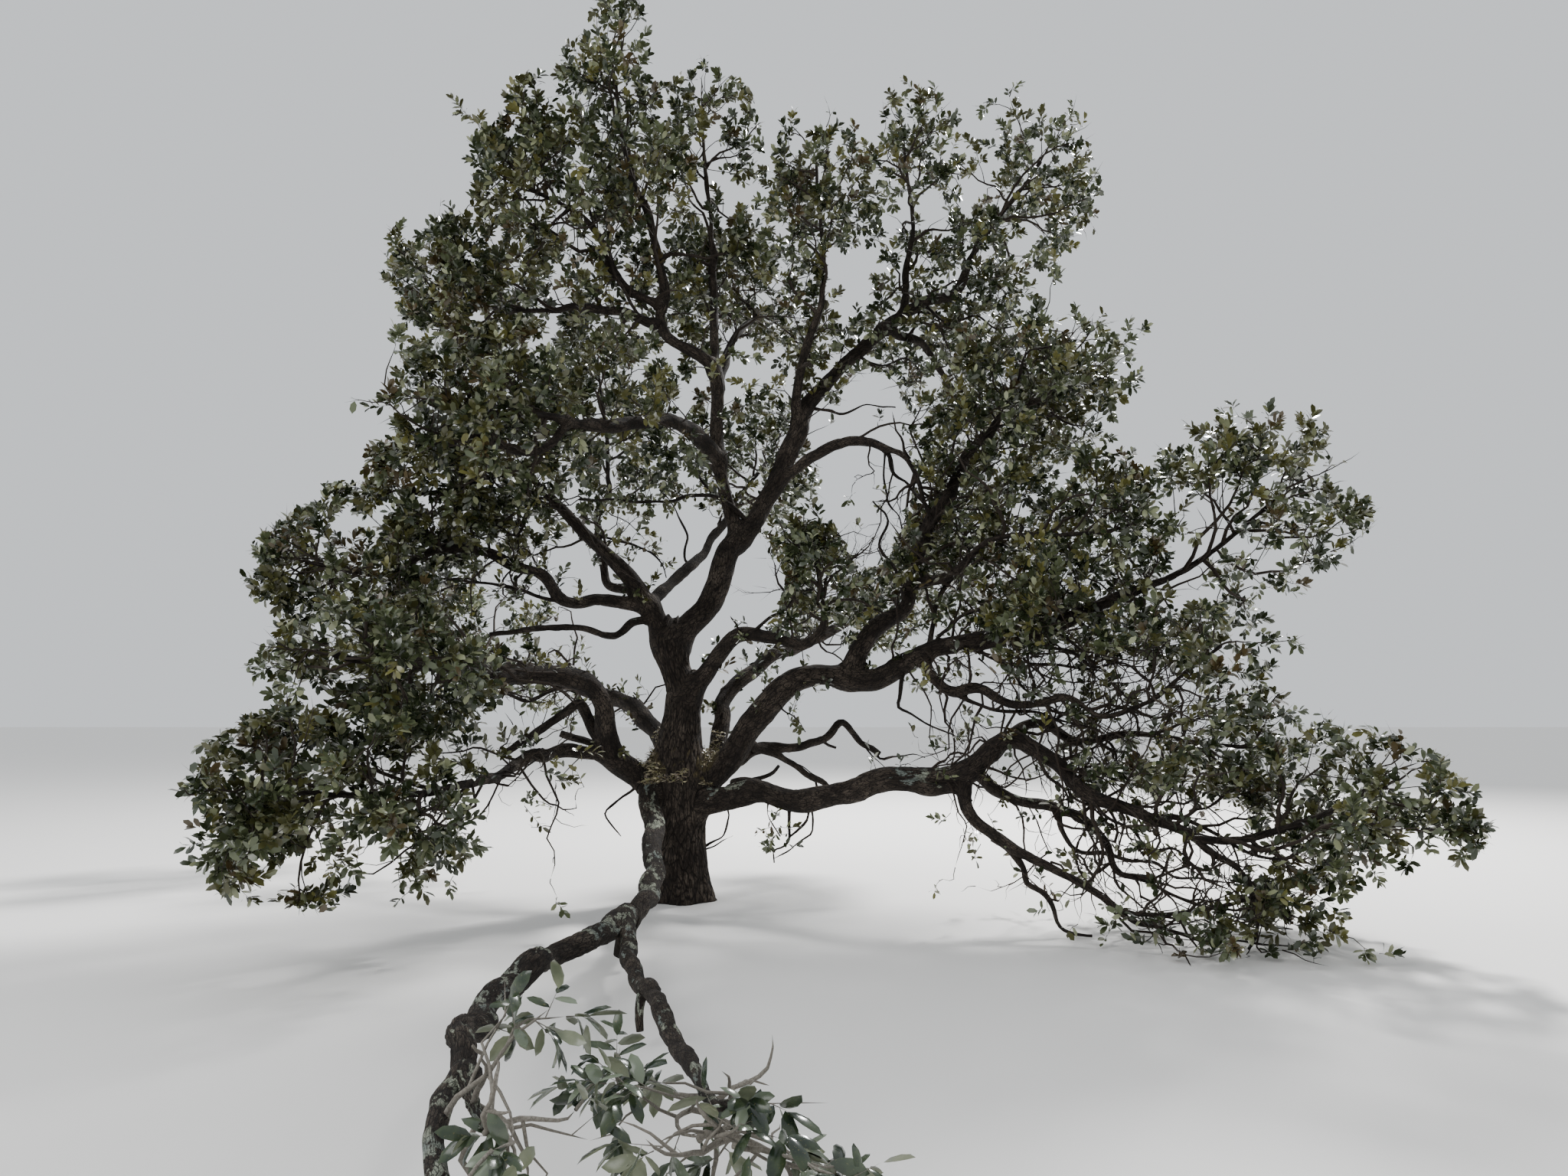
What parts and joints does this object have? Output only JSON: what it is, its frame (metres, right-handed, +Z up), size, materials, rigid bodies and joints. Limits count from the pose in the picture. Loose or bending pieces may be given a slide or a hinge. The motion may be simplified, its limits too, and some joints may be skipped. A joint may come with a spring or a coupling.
{
  "type": "live oak tree",
  "caption": "Low forking evergreen oak with a short flared trunk, long crooked spreading boughs and an open crown of leafy twigs, rooted at a flat cut at ground level",
  "frame": {"origin": "middle of the flat cut across the foot of the trunk, at ground level", "axes": "+Z up; the pictured side faces -Y; +X is to the right in that view"},
  "size_m": [9.0113, 10.6357, 7.9032],
  "materials": {
    "bark": "rough fissured dark grey-brown bark with lichen",
    "foliage": "small leathery grey-green to olive leaves, paler beneath"
  },
  "bodies": {
    "root": {"trunk": "bark", "right_leader": "bark", "left_leader": "bark", "long_left_arm": "bark", "left_upright": "bark", "inner_back_limb": "bark", "top_leader": "bark", "heavy_front_limb": "bark", "top_middle_limb": "bark", "middle_back_limb": "bark", "upper_left_arm": "bark", "top_left_limb": "bark", "arching_limb": "bark", "upper_middle_limb": "bark", "back_right_limb": "bark", "top_right_limb": "bark", "great_right_arch": "bark", "right_upright": "bark", "right_side_limb": "bark", "lower_arch_limb": "bark", "low_right_bough": "bark", "right_skirt_limb": "bark", "drop_limb": "bark", "upper_right_bough": "bark", "back_right_bough": "bark", "back_left_bough": "bark", "left_bough": "bark", "left_low_arm": "bark", "front_limb": "bark", "front_fork_limb": "bark", "dead_crooked_limb": "bark", "foliage_right_top": "foliage", "foliage_left_middle": "foliage", "foliage_left_outer": "foliage", "foliage_back_left_high": "foliage", "foliage_back_middle": "foliage", "foliage_top": "foliage", "foliage_front_left": "foliage", "foliage_top_middle": "foliage", "foliage_back_high": "foliage", "foliage_left_high": "foliage", "foliage_top_left": "foliage", "foliage_under_arch": "foliage", "foliage_middle_top": "foliage", "foliage_back_right_high": "foliage", "foliage_top_right": "foliage", "foliage_far_right": "foliage", "foliage_right_high": "foliage", "foliage_right_middle": "foliage", "foliage_right_low": "foliage", "foliage_right_skirt_front": "foliage", "foliage_right_skirt_back": "foliage", "foliage_right_ground": "foliage", "foliage_inner_right": "foliage", "foliage_back_right": "foliage", "foliage_back_left": "foliage", "foliage_left_skirt_high": "foliage", "foliage_left_skirt_low": "foliage", "foliage_front_tip": "foliage", "foliage_front_fork": "foliage"}
  },
  "joints": []
}
